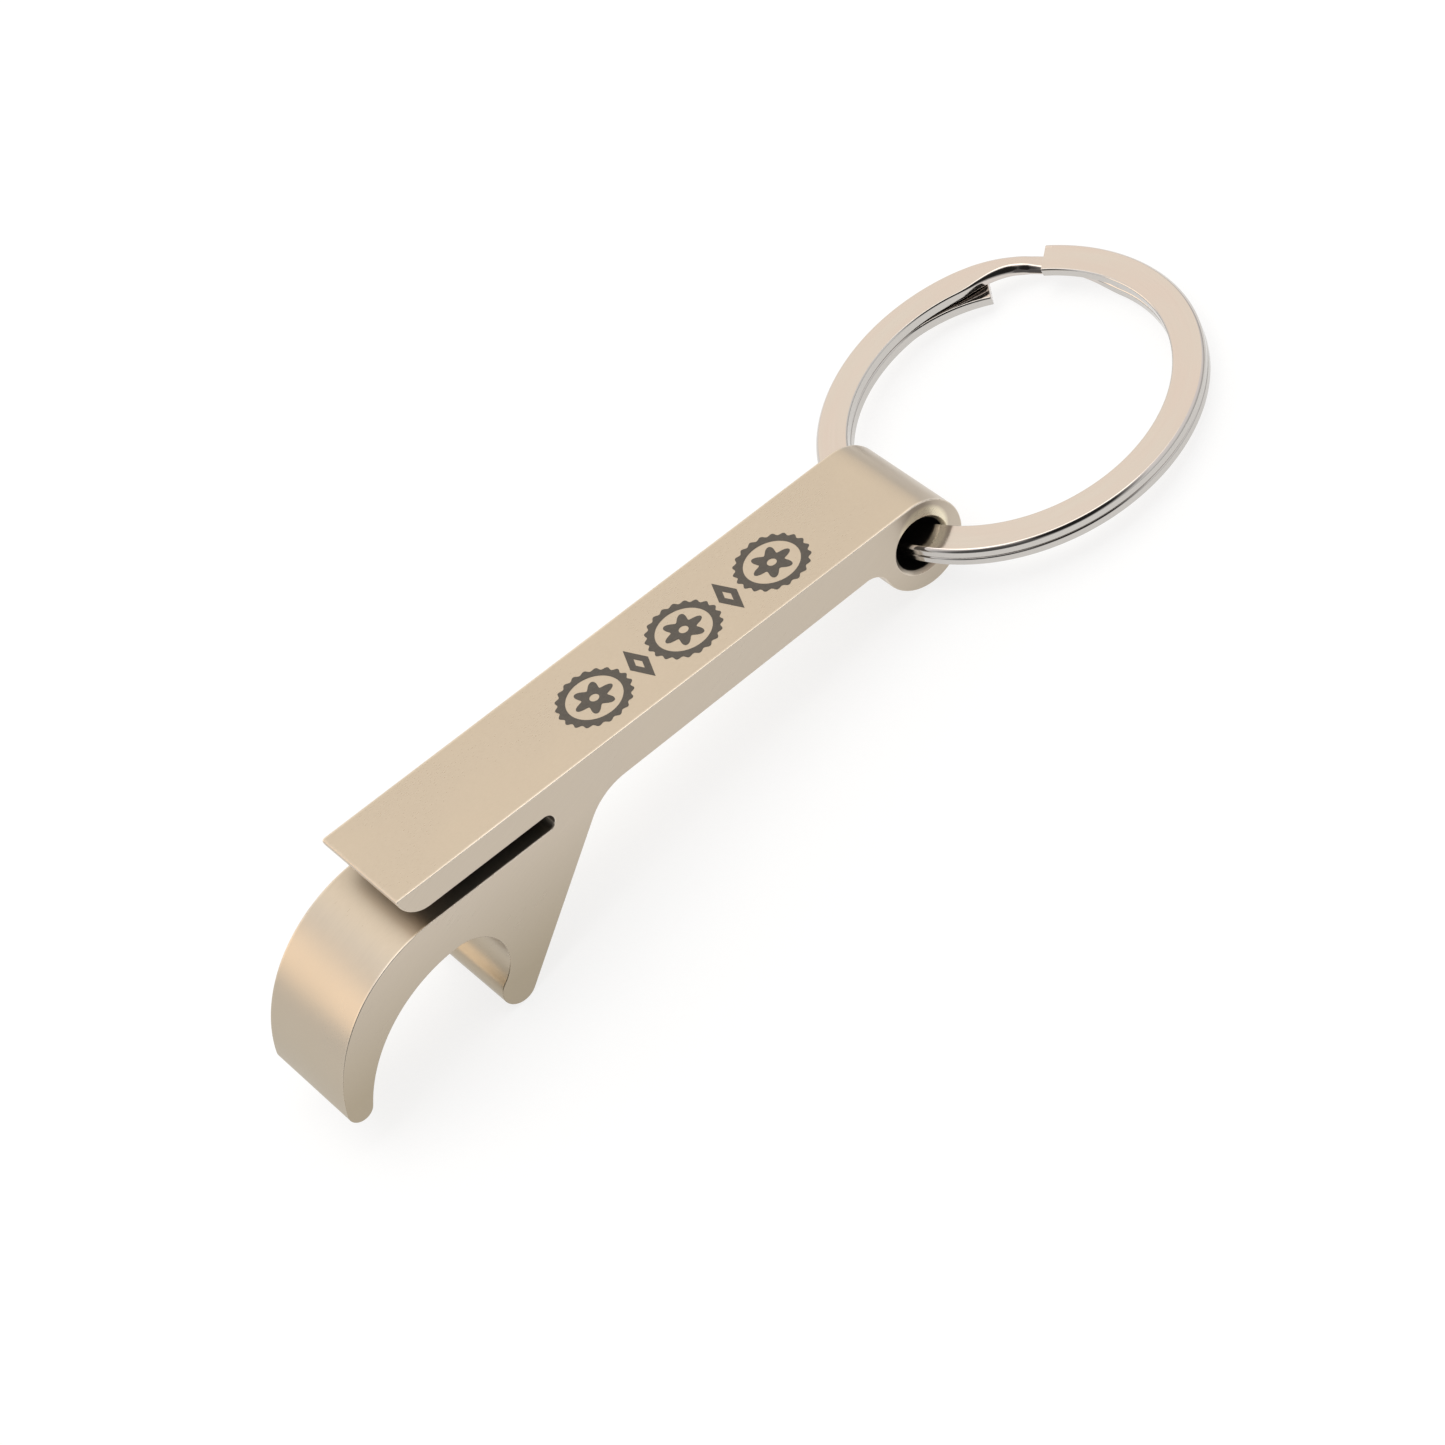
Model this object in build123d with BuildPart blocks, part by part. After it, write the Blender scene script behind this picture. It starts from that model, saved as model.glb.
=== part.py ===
"""Keychain bottle opener: a bent-profile opener body with a split ring through its boss.

The object lies the way it rests on a table.  The body leans on the underside of its
boss and on the tip of its prong, and the far edge of the ring touches the table too.
+Z is up, +X runs along the handle towards the ring, +Y runs across the width, and the
origin is on the table under the middle of the whole object.

The body's side profile is described in its own flat frame, u along the handle towards
the ring and v square to the handle's top face, with its origin on the bore's axis.
"""

import os
from math import acos, asin, atan, atan2, cos, degrees, hypot, radians, sin, sqrt, tan

from build123d import *

# ---------------------------------------------------------------- driving dimensions, mm
# Opener body
WIDTH = 10.0  # across the handle, the same all along the profile
BOSS_RADIUS = 3.8  # round end that carries the ring; the top face is tangent to it
BORE_RADIUS = 2.2
BORE_CHAMFER = 0.35
EDGE_BREAK = 0.2  # all the cut edges of the side faces
HANDLE_UNDERSIDE = 0.0  # height v of the underside where the prong starts
UNDERSIDE_SLOPE = 0.97  # degrees; the handle thins slightly towards the boss
BOSS_FILLET = 1.6  # between the underside and the boss

TONGUE_LENGTH = 49.05  # bore axis to the tongue's tip
TONGUE_THICKNESS = 2.3
SLOT_GAP = 1.43  # between the tongue and the back of the hook
SLOT_END = 36.15  # bore axis to the centre of the slot's round end

HOOK_BACK_RADIUS = 12.15
HOOK_BACK_U = -47.3  # where the hook's back is level with the handle
HOOK_INNER_RADIUS = 11.7
HOOK_TIP_RADIUS = 1.1
CROWN_U = -46.3  # top of the mouth, where the hook meets the prong
CROWN_THICKNESS = 3.72  # web between the slot's floor and the top of the mouth

THROAT_RADIUS = 3.4  # round pocket behind the prong's tip
PRONG_DIRECTION = -51.5  # degrees, from the pocket's centre to the prong tip's centre
PRONG_TIP_RADIUS = 1.5
PRONG_FLANK_ANGLE = 47.3  # degrees, slope of the prong's outer flank
PRONG_FILLET = 5.0

# Split ring: flat strip wound in two close turns
RING_OUTER_RADIUS = 15.5
STRIP_WIDTH = 2.6
STRIP_THICKNESS = 0.86
TURN_GAP = 0.04  # running gap between the two turns
RING_REACH = 13.65  # bore axis to the ring's centre
UPPER_CUT = 37.0  # degrees round the ring from its far point, the upper turn's cut end
LOWER_CUT = 57.0  # the lower turn's cut end
CUT_CLEARANCE = 1.0  # degrees between the step and either cut end
STEP_SECTIONS = 5  # cross-sections that shape the step between the turns


def polar(centre, radius, angle):
    """Point at a radius and an angle in degrees from a centre."""
    return (centre[0] + radius * cos(radians(angle)), centre[1] + radius * sin(radians(angle)))


def bearing(start, end):
    """Angle in degrees of the direction from one point to another, 0 to 360."""
    return degrees(atan2(end[1] - start[1], end[0] - start[0])) % 360


# ---------------------------------------------------------------- profile construction
slot_roof = BOSS_RADIUS - TONGUE_THICKNESS
slot_floor = slot_roof - SLOT_GAP
slot_centre = (-SLOT_END, (slot_roof + slot_floor) / 2)
tongue_centre = (TONGUE_THICKNESS - TONGUE_LENGTH, BOSS_RADIUS)
tongue_tip = (-TONGUE_LENGTH, BOSS_RADIUS)

hook_back_centre = (HOOK_BACK_U, slot_floor - HOOK_BACK_RADIUS)
crown = (CROWN_U, slot_floor - CROWN_THICKNESS)
hook_inner_centre = (CROWN_U, crown[1] - HOOK_INNER_RADIUS)
throat_centre = (CROWN_U, crown[1] - THROAT_RADIUS)

# The hook's tip is a circle that touches the back arc from inside and the inner arc
# from outside, so its centre is the far corner of a triangle on the two arc centres.
back_to_tip = HOOK_BACK_RADIUS - HOOK_TIP_RADIUS
inner_to_tip = HOOK_INNER_RADIUS + HOOK_TIP_RADIUS
centre_gap = hypot(
    hook_inner_centre[0] - hook_back_centre[0], hook_inner_centre[1] - hook_back_centre[1]
)
corner_cosine = (back_to_tip**2 + centre_gap**2 - inner_to_tip**2) / (2 * back_to_tip * centre_gap)
tip_bearing = bearing(hook_back_centre, hook_inner_centre) - degrees(acos(corner_cosine))
hook_tip_centre = polar(hook_back_centre, back_to_tip, tip_bearing)
hook_tip_end = bearing(hook_tip_centre, hook_inner_centre)

# The prong's tip touches the pocket from outside, and its flank is tangent to it.
prong_centre = polar(throat_centre, THROAT_RADIUS + PRONG_TIP_RADIUS, PRONG_DIRECTION)
flank_normal = PRONG_FLANK_ANGLE - 90
flank_start = polar(prong_centre, PRONG_TIP_RADIUS, flank_normal)

# Flank and underside meet in a corner, which is filleted later.
flank_rise = tan(radians(PRONG_FLANK_ANGLE))
underside_rise = tan(radians(UNDERSIDE_SLOPE))
flank_u = flank_start[0] + (HANDLE_UNDERSIDE - flank_start[1]) / flank_rise
prong_root = (flank_u, HANDLE_UNDERSIDE)

# The underside runs up the slope until it meets the boss circle.
underside_at_bore = HANDLE_UNDERSIDE - prong_root[0] * underside_rise
line_distance = underside_at_bore * cos(radians(UNDERSIDE_SLOPE))
half_chord = sqrt(BOSS_RADIUS**2 - line_distance**2)
foot = polar((0, 0), line_distance, 90 + UNDERSIDE_SLOPE)
boss_meet = polar(foot, -half_chord, UNDERSIDE_SLOPE)
boss_meet_angle = bearing((0, 0), boss_meet)

# ---------------------------------------------------------------- how it lies on the table
# Boss underside and prong tip both touch the table.
lean = degrees(
    atan(prong_centre[1] / prong_centre[0])
    - asin((BOSS_RADIUS - PRONG_TIP_RADIUS) / hypot(*prong_centre))
)
# The ring's strip passes through the bore and its far lower edge touches the table.
half_stack = STRIP_THICKNESS + TURN_GAP / 2
ring_far = RING_REACH + RING_OUTER_RADIUS
ring_dip = degrees(asin(BOSS_RADIUS / hypot(ring_far, half_stack)) - atan(half_stack / ring_far))

# The hook's tip and the ring's far upper edge are the two ends of the whole object.
hook_tip_reach = (
    hook_tip_centre[0] * cos(radians(lean)) + hook_tip_centre[1] * sin(radians(lean))
) - HOOK_TIP_RADIUS
ring_end_reach = ring_far * cos(radians(ring_dip)) + half_stack * sin(radians(ring_dip))
bore_position = Vector(-(hook_tip_reach + ring_end_reach) / 2, 0, BOSS_RADIUS)

side_plane = Plane(
    origin=bore_position,
    x_dir=(cos(radians(lean)), 0, -sin(radians(lean))),
    z_dir=(0, -1, 0),
)
ring_axis_dir = Vector(cos(radians(ring_dip)), 0, -sin(radians(ring_dip)))
ring_plane = Plane(
    origin=bore_position + ring_axis_dir * RING_REACH,
    x_dir=ring_axis_dir,
    z_dir=(sin(radians(ring_dip)), 0, cos(radians(ring_dip))),
)

# ---------------------------------------------------------------- opener body
with BuildPart() as opener_body:
    with BuildSketch(side_plane) as profile:
        with BuildLine():
            Line((0, BOSS_RADIUS), tongue_tip)
            CenterArc(tongue_centre, TONGUE_THICKNESS, 180, 90)
            Line((tongue_centre[0], slot_roof), (slot_centre[0], slot_roof))
            CenterArc(slot_centre, SLOT_GAP / 2, 90, -180)
            Line((slot_centre[0], slot_floor), (HOOK_BACK_U, slot_floor))
            CenterArc(hook_back_centre, HOOK_BACK_RADIUS, 90, tip_bearing - 90)
            CenterArc(hook_tip_centre, HOOK_TIP_RADIUS, tip_bearing, hook_tip_end - tip_bearing)
            CenterArc(hook_inner_centre, HOOK_INNER_RADIUS, hook_tip_end - 180, 270 - hook_tip_end)
            CenterArc(throat_centre, THROAT_RADIUS, 90, PRONG_DIRECTION - 90)
            CenterArc(
                prong_centre,
                PRONG_TIP_RADIUS,
                PRONG_DIRECTION + 180,
                flank_normal - PRONG_DIRECTION + 180,
            )
            Line(flank_start, prong_root)
            Line(prong_root, boss_meet)
            CenterArc((0, 0), BOSS_RADIUS, boss_meet_angle, 450 - boss_meet_angle)
        make_face()
        corners = profile.vertices()
        fillet(corners.sort_by_distance(side_plane.from_local_coords(prong_root))[0], PRONG_FILLET)
        corners = profile.vertices()
        fillet(corners.sort_by_distance(side_plane.from_local_coords(boss_meet))[0], BOSS_FILLET)
        Circle(BORE_RADIUS, mode=Mode.SUBTRACT)
    extrude(amount=WIDTH / 2, both=True)
    side_faces = opener_body.faces().filter_by(Axis.Y)
    bore_mouths = [wire.edges() for face in side_faces for wire in face.inner_wires()]
    chamfer(bore_mouths, BORE_CHAMFER)
    side_faces = opener_body.faces().filter_by(Axis.Y)
    cut_edges = [face.outer_wire().edges() for face in side_faces]
    chamfer(cut_edges, EDGE_BREAK)

opener_body.part.label = "opener_body"

# ---------------------------------------------------------------- split ring
strip_radius = RING_OUTER_RADIUS - STRIP_WIDTH / 2
turn_height = (STRIP_THICKNESS + TURN_GAP) / 2  # middle of a turn above the ring's plane
step_start = LOWER_CUT - CUT_CLEARANCE
step_end = UPPER_CUT + CUT_CLEARANCE


def strip_plane(angle, height):
    """Plane square to the strip at an angle round the ring and a height above its plane."""
    outward = ring_plane.x_dir * cos(radians(angle)) + ring_plane.y_dir * sin(radians(angle))
    middle = ring_plane.origin + outward * strip_radius + ring_plane.z_dir * height
    return Plane(origin=middle, x_dir=outward, z_dir=outward.cross(ring_plane.z_dir))


with BuildPart() as split_ring:
    # Each turn is the strip's section swung round the ring's axis.
    ring_centre_axis = Axis(ring_plane.origin, ring_plane.z_dir)
    with BuildSketch(strip_plane(UPPER_CUT, turn_height)):
        Rectangle(STRIP_WIDTH, STRIP_THICKNESS)
    revolve(axis=ring_centre_axis, revolution_arc=-(360 - step_start + UPPER_CUT))
    with BuildSketch(strip_plane(LOWER_CUT, -turn_height)):
        Rectangle(STRIP_WIDTH, STRIP_THICKNESS)
    revolve(axis=ring_centre_axis, revolution_arc=360 - LOWER_CUT + step_end)
    # The step carries the strip from the upper turn down to the lower one.
    for index in range(STEP_SECTIONS):
        share = index / (STEP_SECTIONS - 1)
        angle = step_start + (step_end - step_start) * share
        height = turn_height * cos(radians(180 * share))
        with BuildSketch(strip_plane(angle, height)):
            Rectangle(STRIP_WIDTH, STRIP_THICKNESS)
    loft()

split_ring.part.label = "split_ring"

os.makedirs("parts", exist_ok=True)
export_step(opener_body.part, "parts/opener_body.step")
export_step(split_ring.part, "parts/split_ring.step")

print(f"lean {lean:.3f} deg, ring dip {ring_dip:.3f} deg")
print(f"bore axis at x {bore_position.X:.4f}, z {bore_position.Z:.4f} mm")
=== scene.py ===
"""Looks of the keychain bottle opener: satin body, polished split ring, printed marking.

Lengths in the classes are millimetres, as a maker writes them, and every mesh is put
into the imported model's frame in metres.  The opener's side profile is drawn in its own
flat frame: u runs along the handle towards the ring, v stands square to the handle's
top face, and the origin is on the axis of the bore.
"""

import logging
import math
from dataclasses import dataclass, field
from enum import Enum
from functools import reduce

import bpy
import numpy as np
from mathutils import Matrix, Vector
from mathutils.geometry import delaunay_2d_cdt


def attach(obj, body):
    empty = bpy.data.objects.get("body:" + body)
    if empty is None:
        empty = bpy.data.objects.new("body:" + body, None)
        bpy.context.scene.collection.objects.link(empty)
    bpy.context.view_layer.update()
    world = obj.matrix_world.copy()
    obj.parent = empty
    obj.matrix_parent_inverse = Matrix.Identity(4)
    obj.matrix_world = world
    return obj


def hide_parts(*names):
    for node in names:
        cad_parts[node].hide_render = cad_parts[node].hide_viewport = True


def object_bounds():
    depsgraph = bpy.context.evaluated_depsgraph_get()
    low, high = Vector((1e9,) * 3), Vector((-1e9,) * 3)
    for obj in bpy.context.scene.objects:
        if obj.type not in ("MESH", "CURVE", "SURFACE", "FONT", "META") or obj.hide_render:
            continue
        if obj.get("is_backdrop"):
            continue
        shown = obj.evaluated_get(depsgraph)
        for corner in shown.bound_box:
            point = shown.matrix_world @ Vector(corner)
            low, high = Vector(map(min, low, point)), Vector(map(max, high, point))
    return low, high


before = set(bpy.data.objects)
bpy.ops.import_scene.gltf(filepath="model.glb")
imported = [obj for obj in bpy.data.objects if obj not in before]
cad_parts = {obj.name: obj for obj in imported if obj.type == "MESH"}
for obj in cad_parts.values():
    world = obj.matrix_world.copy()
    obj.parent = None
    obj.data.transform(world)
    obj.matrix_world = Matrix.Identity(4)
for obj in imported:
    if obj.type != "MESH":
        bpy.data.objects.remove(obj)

CAD_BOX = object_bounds()
MM = 0.001
LEAN = math.radians(11.170)  # the handle falls this much towards the ring
BORE_AXIS = np.array([15.6431, 0.0, 3.8])  # mm, middle of the bore
ALONG = np.array([math.cos(LEAN), 0.0, -math.sin(LEAN)])  # direction u
ABOVE = np.array([math.sin(LEAN), 0.0, math.cos(LEAN)])  # direction v
ACROSS = np.array([0.0, 1.0, 0.0])

log = logging.getLogger("bottle_opener")


class Rider(Enum):
    """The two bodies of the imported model."""

    OPENER = "opener"
    RING = "ring"


class Finish(Enum):
    """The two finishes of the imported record."""

    SATIN = "satin_body"
    POLISHED = "polished_ring"


# ------------------------------------------------------------------ drawing and meshes
@dataclass
class Stroke:
    """A run of a drawn line: its points and the directions that face out of the metal.

    Both are arrays of one row per point, in the profile's flat frame.
    """

    points: np.ndarray
    outward: np.ndarray

    def __add__(self, other: "Stroke") -> "Stroke":
        """This run followed by another."""
        return Stroke(
            np.vstack([self.points, other.points]), np.vstack([self.outward, other.outward])
        )


def straight(start: np.ndarray, end: np.ndarray, spacing: float = 0.6) -> Stroke:
    """Straight run with the metal on its left, without its last point.

    point(t) = start + t * (end - start), and outward is the direction of travel turned
    a quarter turn to the right.

    Args:
        start: first point.
        end: point where the next run starts.
        spacing: greatest distance between points.

    Returns:
        The run.
    """
    travel = np.asarray(end, float) - start
    length = float(np.hypot(*travel))
    count = max(1, math.ceil(length / spacing))
    share = np.arange(count)[:, None] / count
    facing = np.array([travel[1], -travel[0]]) / length
    return Stroke(start + share * travel, np.repeat(facing[None], count, axis=0))


def arc(centre: np.ndarray, radius: float, start: float, sweep: float, step: float = 3.0) -> Stroke:
    """Round run about a centre, without its last point.

    point(a) = centre + radius * (cos a, sin a).  Outward is (cos a, sin a) when the
    sweep is positive, because the metal is then inside, and the opposite when it is
    negative.

    Args:
        centre: middle of the circle.
        radius: its radius.
        start: angle of the first point, in degrees.
        sweep: angle travelled, in degrees, anticlockwise positive.
        step: greatest angle between points, in degrees.

    Returns:
        The run.
    """
    count = max(2, math.ceil(abs(sweep) / step))
    angle = np.radians(start + sweep * np.arange(count) / count)
    radial = np.column_stack([np.cos(angle), np.sin(angle)])
    return Stroke(np.asarray(centre) + radius * radial, radial * math.copysign(1.0, sweep))


def polar(centre: np.ndarray, radius: float, angle: float) -> np.ndarray:
    """Point at a radius and an angle in degrees from a centre."""
    turn = math.radians(angle)
    return np.asarray(centre, float) + radius * np.array([math.cos(turn), math.sin(turn)])


def bearing(start: np.ndarray, end: np.ndarray) -> float:
    """Angle in degrees, 0 to 360, of the direction from one point to another."""
    return math.degrees(math.atan2(end[1] - start[1], end[0] - start[0])) % 360


def smooth(value: np.ndarray, low: float, high: float) -> np.ndarray:
    """Rises from 0 at low to 1 at high along 3t^2 - 2t^3."""
    share = np.clip((value - low) / (high - low), 0.0, 1.0)
    return share * share * (3 - 2 * share)


def to_frame(flat: np.ndarray, side: np.ndarray) -> np.ndarray:
    """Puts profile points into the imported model's frame.

    point = bore + u * along + v * above + side * across.

    Args:
        flat: u and v in the last axis, mm.
        side: distance across the handle for each point, mm.

    Returns:
        Points in mm, with x, y and z in the last axis.
    """
    u, v = flat[..., 0, None], flat[..., 1, None]
    return BORE_AXIS + u * ALONG + v * ABOVE + side[..., None] * ACROSS


@dataclass
class Shell:
    """Points, facings and faces of a surface that is being put together.

    Attributes:
        points: one row per point, mm.
        facings: unit normal of each point.
        faces: faces as lists of point numbers.
        marks: named value or vector of each point, for the material to read.
    """

    points: np.ndarray
    facings: np.ndarray
    faces: list
    marks: dict

    def join(self, other: "Shell") -> "Shell":
        """This surface and another as one, with nothing welded."""
        shift = len(self.points)
        return Shell(
            np.vstack([self.points, other.points]),
            np.vstack([self.facings, other.facings]),
            self.faces + [[shift + corner for corner in face] for face in other.faces],
            {
                name: np.concatenate([mark, other.marks[name]])
                for name, mark in self.marks.items()
            },
        )

    def piece(
        self, name: str, rider: Rider, finish: Finish, material: bpy.types.Material
    ) -> bpy.types.Object:
        """Makes the surface an object that rides on a body.

        Args:
            name: the piece's name.
            rider: the body it moves with.
            finish: not used.
            material: what it is dressed in.

        Returns:
            The object, at the origin, with its place in its mesh.
        """
        mesh = bpy.data.meshes.new(name)
        mesh.from_pydata((self.points * MM).tolist(), [], self.faces)
        mesh.update()
        mesh.polygons.foreach_set("use_smooth", np.ones(len(mesh.polygons), bool))
        mesh.normals_split_custom_set_from_vertices(self.facings.tolist())
        for mark, values in self.marks.items():
            kind, socket = ("FLOAT", "value") if values.ndim == 1 else ("FLOAT_VECTOR", "vector")
            attribute = mesh.attributes.new(mark, kind, "POINT")
            attribute.data.foreach_set(socket, values.astype(np.float32).ravel())
        mesh.materials.append(material)
        thing = into_scene(name, mesh)
        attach(thing, rider.value)
        log.info("%s: %d points, %d faces", name, len(mesh.vertices), len(mesh.polygons))
        return thing


def into_scene(name: str, data: bpy.types.ID) -> bpy.types.Object:
    """Makes a mesh, light or camera an object of the scene.

    Args:
        name: the object's name.
        data: what it shows.

    Returns:
        The object, at the origin.
    """
    thing = bpy.data.objects.new(name, data)
    bpy.context.scene.collection.objects.link(thing)
    return thing


def lattice(rows: int, columns: int, rows_close: bool, columns_close: bool) -> np.ndarray:
    """Four-cornered faces of a grid of points numbered row by row.

    Face (i, j) has corners (i, j), (i, j+1), (i+1, j+1), (i+1, j), and the last row or
    column is followed by the first where the grid closes on itself.

    Args:
        rows: number of rows of points.
        columns: number of columns.
        rows_close: whether the last row meets the first.
        columns_close: whether the last column meets the first.

    Returns:
        Four point numbers a row.
    """
    i = np.arange(rows if rows_close else rows - 1)[:, None]
    j = np.arange(columns if columns_close else columns - 1)[None]
    below, beside = (i + 1) % rows, (j + 1) % columns
    corners = [i * columns + j, i * columns + beside, below * columns + beside, below * columns + j]
    return np.stack(np.broadcast_arrays(*corners), axis=-1).reshape(-1, 4)


def softened_edge(bevel: float, softness: float, steps: int = 5) -> np.ndarray:
    """Section of a bevel whose two corners are rounded.

    Two arcs of an eighth of a turn, each centre + softness * (-sin a, -cos a), meet a
    45 degree flat between them.  The first centre is (bevel + t, softness), the second
    (softness, bevel + t), with t = softness * tan(22.5 deg).

    Args:
        bevel: how far the 45 degree flat cuts in from either face.
        softness: radius at its two corners.
        steps: points on each arc.

    Returns:
        Rows of inset from the wall, depth below the side face, and the angle in
        radians that the surface has turned from the side face to the wall.
    """
    reach = bevel + softness * math.tan(math.pi / 8)
    turn = np.radians(np.linspace(0, 45, steps))
    arcs = [
        np.column_stack([inset - softness * np.sin(angle), depth - softness * np.cos(angle), angle])
        for angle, inset, depth in ((turn, reach, softness), (turn + math.pi / 4, softness, reach))
    ]
    return np.vstack(arcs)


# ------------------------------------------------------------------ finishes
NOISE_RANGE = (0.3, 0.7)  # what soft noise mostly keeps to


@dataclass(frozen=True)
class Pattern:
    """Soft noise between 0 and 1 over a piece.

    Attributes:
        scale: repeats per mm in each direction.
        detail: how many finer layers it has.
        rough: how strong the finer layers are.
        turn: rotation about the across direction, radians.
        mark: point attribute that it follows instead of the object's coordinates.
    """

    scale: tuple
    detail: float = 3.0
    rough: float = 0.6
    turn: float = LEAN
    mark: str = ""


@dataclass(frozen=True)
class Nodes:
    """Short ways to build a material's nodes.

    Attributes:
        tree: the node tree being filled.
    """

    tree: bpy.types.NodeTree

    def add(self, kind: str, sockets: dict | None = None, **settings: object) -> bpy.types.Node:
        """New node of a kind.

        Args:
            kind: the program's name for it.
            sockets: what feeds its inputs, by their name or number.
            settings: its other settings.

        Returns:
            The node.
        """
        node = self.tree.nodes.new(kind)
        for name, value in settings.items():
            setattr(node, name, value)
        for name, source in (sockets or {}).items():
            self.feed(node.inputs[name], source)
        return node

    def feed(self, socket: bpy.types.NodeSocket, source: object) -> None:
        """Links a source in, or sets the value when it is a plain one.

        Args:
            socket: the input to feed.
            source: an output socket, or a number, colour or vector.
        """
        if isinstance(source, bpy.types.NodeSocket):
            self.tree.links.new(source, socket)
        else:
            socket.default_value = source

    def where(self, mark: str = "") -> bpy.types.NodeSocket:
        """Object coordinates in metres, or the vector of a point attribute."""
        if mark:
            return self.add("ShaderNodeAttribute", attribute_name=mark).outputs["Vector"]
        return self.add("ShaderNodeTexCoord").outputs["Object"]

    def mark(self, name: str) -> bpy.types.NodeSocket:
        """Value of a point attribute."""
        return self.add("ShaderNodeAttribute", attribute_name=name).outputs["Fac"]

    def cloud(self, pattern: Pattern) -> bpy.types.NodeSocket:
        """Soft noise, turned and then scaled.

        Args:
            pattern: its size, direction and detail.

        Returns:
            The noise's socket.
        """
        unit = 1.0 if pattern.mark else 1 / MM
        where, turn = self.where(pattern.mark), (0.0, pattern.turn, 0.0)
        turned = self.add("ShaderNodeMapping", {"Vector": where, "Rotation": turn})
        scale = tuple(unit * s for s in pattern.scale)
        sized = self.add("ShaderNodeMapping", {"Vector": turned.outputs["Vector"], "Scale": scale})
        sockets = {"Scale": 1.0, "Detail": pattern.detail, "Roughness": pattern.rough}
        sockets["Vector"] = sized.outputs["Vector"]
        return self.add("ShaderNodeTexNoise", sockets).outputs["Fac"]

    def math(self, operation: str, first: object, second: object = 0.0) -> bpy.types.NodeSocket:
        """One sum on two values or sockets."""
        node = self.add("ShaderNodeMath", {0: first, 1: second}, operation=operation)
        return node.outputs["Value"]

    def span(
        self, value: object, before: tuple, after: tuple = (0.0, 1.0)
    ) -> bpy.types.NodeSocket:
        """Carries a value from one range to another and holds it at the ends.

        Args:
            value: the socket to carry over.
            before: the range it comes from.
            after: the range it goes to.

        Returns:
            The new value's socket.
        """
        names = ("From Min", "From Max", "To Min", "To Max")
        sockets = {"Value": value, **dict(zip(names, (*before, *after), strict=True))}
        return self.add("ShaderNodeMapRange", sockets, clamp=True).outputs["Result"]

    def blend(self, share: object, first: object, second: object) -> bpy.types.NodeSocket:
        """Mixes two colours, from the first at a share of 0 to the second at 1."""
        sockets = {"Factor": share, 6: first, 7: second}
        return self.add("ShaderNodeMix", sockets, data_type="RGBA").outputs[2]

    def bump(self, height: object, depth: float, under: object = None) -> bpy.types.NodeSocket:
        """Surface relief.

        Args:
            height: socket that rises from 0 to 1.
            depth: depth of the relief, mm.
            under: an earlier relief that it lies over.

        Returns:
            The new facing's socket.
        """
        sockets = {"Strength": 1.0, "Distance": depth * MM, "Height": height}
        if under is not None:
            sockets["Normal"] = under
        return self.add("ShaderNodeBump", sockets).outputs["Normal"]

    def dress(self, sockets: dict) -> None:
        """Puts one shader on the output, with what feeds its inputs."""
        shader = self.add("ShaderNodeBsdfPrincipled", sockets)
        self.add("ShaderNodeOutputMaterial", {"Surface": shader.outputs["BSDF"]})


def blank_material(name: str) -> tuple[bpy.types.Material, Nodes]:
    """New material with no nodes yet.

    Args:
        name: the material's name.

    Returns:
        The material, and its nodes to fill.
    """
    material = bpy.data.materials.new(name)
    material.use_nodes = True
    material.node_tree.nodes.clear()
    return material, Nodes(material.node_tree)


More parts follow.
